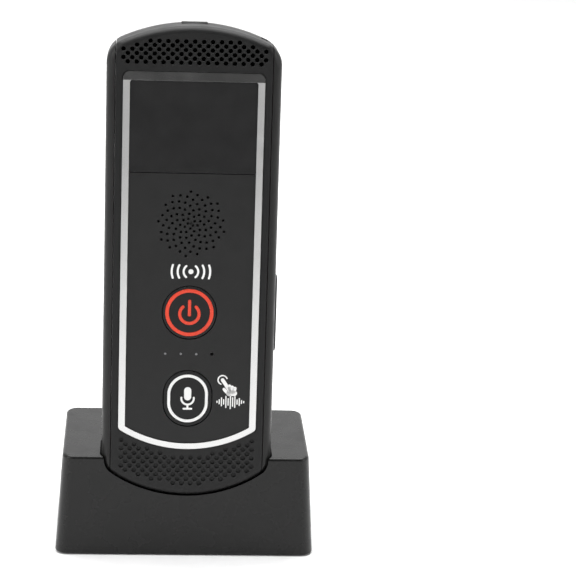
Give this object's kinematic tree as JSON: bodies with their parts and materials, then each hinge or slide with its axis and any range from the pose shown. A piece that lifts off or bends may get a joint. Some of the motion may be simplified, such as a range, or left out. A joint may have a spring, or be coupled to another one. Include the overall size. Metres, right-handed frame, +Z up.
{
  "type": "handheld intercom pager with charging dock",
  "caption": "Slim upright voice pager with crown grille, power and talk buttons in a chrome-trimmed panel, seated in a low tapered charging dock.",
  "frame": {"origin": "on the ground under the middle of the whole object, in the middle of the dock", "axes": "+Z up, -Y is the front of the dock and handset, +X to the right seen from the front"},
  "size_m": [0.109, 0.0646, 0.2225],
  "materials": {
    "housing": "fine satin grain, moulded",
    "rail": "soft satin grip strip",
    "chrome": "mirror plated",
    "window": "smooth dark window",
    "panel": "very fine matt grain",
    "display": "dark glass",
    "button": "fine matt grain",
    "red_legend": "translucent red inlay",
    "white_legend": "white inlay",
    "plunger": "moulded",
    "black_part": "moulded",
    "rubber": "matt rubber",
    "steel": "bright",
    "board": "solder resist",
    "foam": "foam",
    "magnet": "nickel plated",
    "cone": "paper cone",
    "clear": "clear light guide",
    "mesh": "fine woven mesh",
    "copper": "copper strip",
    "battery": "foil pouch",
    "wire": "insulated wire",
    "ivory": "moulded",
    "gold": "gold plated",
    "screw": "black zinc",
    "dock": "satin moulded",
    "dock_under": "matt moulded"
  },
  "bodies": {
    "dock": {"dock_shell": "dock", "dock_base": "dock_under", "dock_feet": "rubber", "dock_board": "board", "dock_usb_socket": "steel", "pin_housing": "black_part", "pin_spring_left": "steel", "pin_spring_right": "steel", "dock_screws": "screw"},
    "handset": {"front_shell": "housing", "rear_shell": "housing", "side_rail_left": "rail", "side_rail_right": "rail", "trim_frame": "chrome", "display_window": "window", "control_panel": "panel", "display_module": "display", "power_switch": "black_part", "talk_switch": "black_part", "side_switch": "black_part", "usb_socket": "steel", "port_board": "board", "speaker_gasket": "foam", "speaker_basket": "steel", "speaker_magnet": "magnet", "speaker_cone": "cone", "microphone": "steel", "microphone_boot": "rubber", "light_guides": "clear", "grille_mesh": "mesh", "main_board": "board", "antenna": "copper", "battery": "battery", "battery_leads": "wire", "battery_plug": "ivory", "charge_pads": "gold", "lanyard_pin": "steel", "case_screws": "screw"},
    "power_key": {"power_button": "button", "power_legend": "red_legend", "power_plunger": "plunger"},
    "talk_key": {"talk_button": "button", "talk_legend": "white_legend", "talk_plunger": "plunger"},
    "side_key": {"side_key": "button", "side_plunger": "plunger"},
    "port_cover": {"port_cover": "rubber"},
    "charge_pins": {"contact_pins": "gold"}
  },
  "joints": [
    {"name": "handset_lift", "type": "slide", "parent": "dock", "child": "handset", "axis": [0, 0.0872, 0.9962], "range_m": [0, 0.05]},
    {"name": "power_press", "type": "slide", "parent": "handset", "child": "power_key", "axis": [0, 0.9962, -0.0872], "range_m": [0, 0.0008], "stiffness_N_per_m": 400, "springref_m": -0.002},
    {"name": "talk_press", "type": "slide", "parent": "handset", "child": "talk_key", "axis": [0, 0.9962, -0.0872], "range_m": [0, 0.0008], "stiffness_N_per_m": 400, "springref_m": -0.002},
    {"name": "side_press", "type": "slide", "parent": "handset", "child": "side_key", "axis": [-1, 0, 0], "range_m": [0, 0.0006], "stiffness_N_per_m": 400, "springref_m": -0.002},
    {"name": "port_cover_flip", "type": "hinge", "parent": "handset", "child": "port_cover", "pos_m": [0, 0.005, 0.22098], "axis": [-1, 0, 0], "range_deg": [0, 110]},
    {"name": "pins_rise", "type": "slide", "parent": "dock", "child": "charge_pins", "axis": [0, 0, 1], "range_m": [0, 0.001], "deforming": ["pin_spring_left", "pin_spring_right"]}
  ],
  "couplings": [
    {"joint": "pins_rise", "follows": "handset_lift", "ratio": 0.02}
  ]
}
